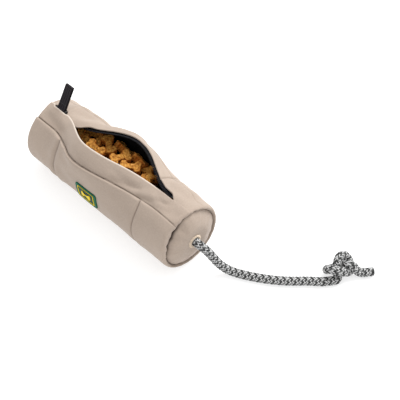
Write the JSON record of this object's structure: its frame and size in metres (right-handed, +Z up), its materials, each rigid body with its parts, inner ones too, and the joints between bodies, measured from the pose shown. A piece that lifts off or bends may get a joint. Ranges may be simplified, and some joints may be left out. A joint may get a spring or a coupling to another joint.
{
  "type": "treat pouch",
  "caption": "Cylindrical canvas dog-training pouch with a zip mouth, padded ends, knotted rope and a filling of bone-shaped treats.",
  "frame": {"origin": "on the resting face, under the middle of the tube's straight length", "axes": "+X along the tube towards the rope end, +Y towards the far side of the mouth, +Z up"},
  "size_m": [0.3205, 0.1484, 0.0909],
  "materials": {
    "canvas": "smooth polyester canvas",
    "lining": "coated nylon",
    "zip": "woven tape with nylon coil",
    "zip_metal": "black lacquer",
    "webbing": "woven nylon",
    "foam": "closed-cell foam",
    "patch_green": "moulded rubber",
    "patch_yellow": "moulded rubber",
    "eyelet": "satin stitched thread",
    "rope": "braided polyester, black, grey and white",
    "treat": "baked biscuit"
  },
  "bodies": {
    "pouch": {"eyelet_back": "eyelet", "eyelet_front": "eyelet", "front_disc": "canvas", "front_lining_disc": "lining", "front_lower_panel": "canvas", "front_pad": "foam", "front_rim": "canvas", "front_top_panel": "canvas", "lining_base": "lining", "lining_front": "lining", "lining_rear": "lining", "lower_panel": "canvas", "rear_disc": "canvas", "rear_lining_disc": "lining", "rear_lower_panel": "canvas", "rear_pad": "foam", "rear_rim": "canvas", "rear_top_panel": "canvas", "rope": "rope", "rope_knot": "rope", "rope_stopper_knot": "rope", "rope_tail": "rope", "treat_01": "treat", "treat_02": "treat", "treat_03": "treat", "treat_04": "treat", "treat_05": "treat", "treat_06": "treat", "treat_07": "treat", "treat_08": "treat", "treat_09": "treat", "treat_10": "treat", "treat_11": "treat", "treat_12": "treat", "treat_13": "treat", "treat_14": "treat", "treat_bed": "treat", "zip_bottom_stop": "zip_metal", "zip_tape_front": "zip", "zip_tape_rear": "zip", "zip_top_stop_far": "zip_metal", "zip_top_stop_near": "zip_metal"},
    "slider": {"slider_body": "zip_metal", "slider_bail": "zip_metal"},
    "pull": {"pull_ribbon": "webbing"},
    "near_wall": {"lining_near": "lining", "near_side_panel": "canvas", "near_top_panel": "canvas", "patch_base": "patch_green", "patch_frame": "patch_yellow", "patch_icon": "patch_yellow", "zip_coil_near": "zip", "zip_tape_near": "zip"},
    "far_wall": {"far_side_panel": "canvas", "far_top_panel": "canvas", "lining_far": "lining", "zip_coil_far": "zip", "zip_tape_far": "zip"}
  },
  "joints": [
    {"name": "zip_slide", "type": "slide", "parent": "pouch", "child": "slider", "axis": [1, 0, 0], "range_m": [0, 0.14]},
    {"name": "pull_swing", "type": "hinge", "parent": "slider", "child": "pull", "pos_m": [-0.078, 0, 0.0679], "axis": [1, 0, 0], "range_deg": [-50, 72]},
    {"name": "near_wall_fold", "type": "hinge", "parent": "pouch", "child": "near_wall", "pos_m": [0, -0.03139, 0.0218], "axis": [-1, 0, 0], "range_deg": [0, 20]},
    {"name": "far_wall_fold", "type": "hinge", "parent": "pouch", "child": "far_wall", "pos_m": [0, 0.03139, 0.0218], "axis": [1, 0, 0], "range_deg": [0, 23]}
  ],
  "couplings": [
    {"joint": "near_wall_fold", "follows": "zip_slide", "rad_per_m": 2.4932},
    {"joint": "far_wall_fold", "follows": "zip_slide", "rad_per_m": 2.8672}
  ]
}
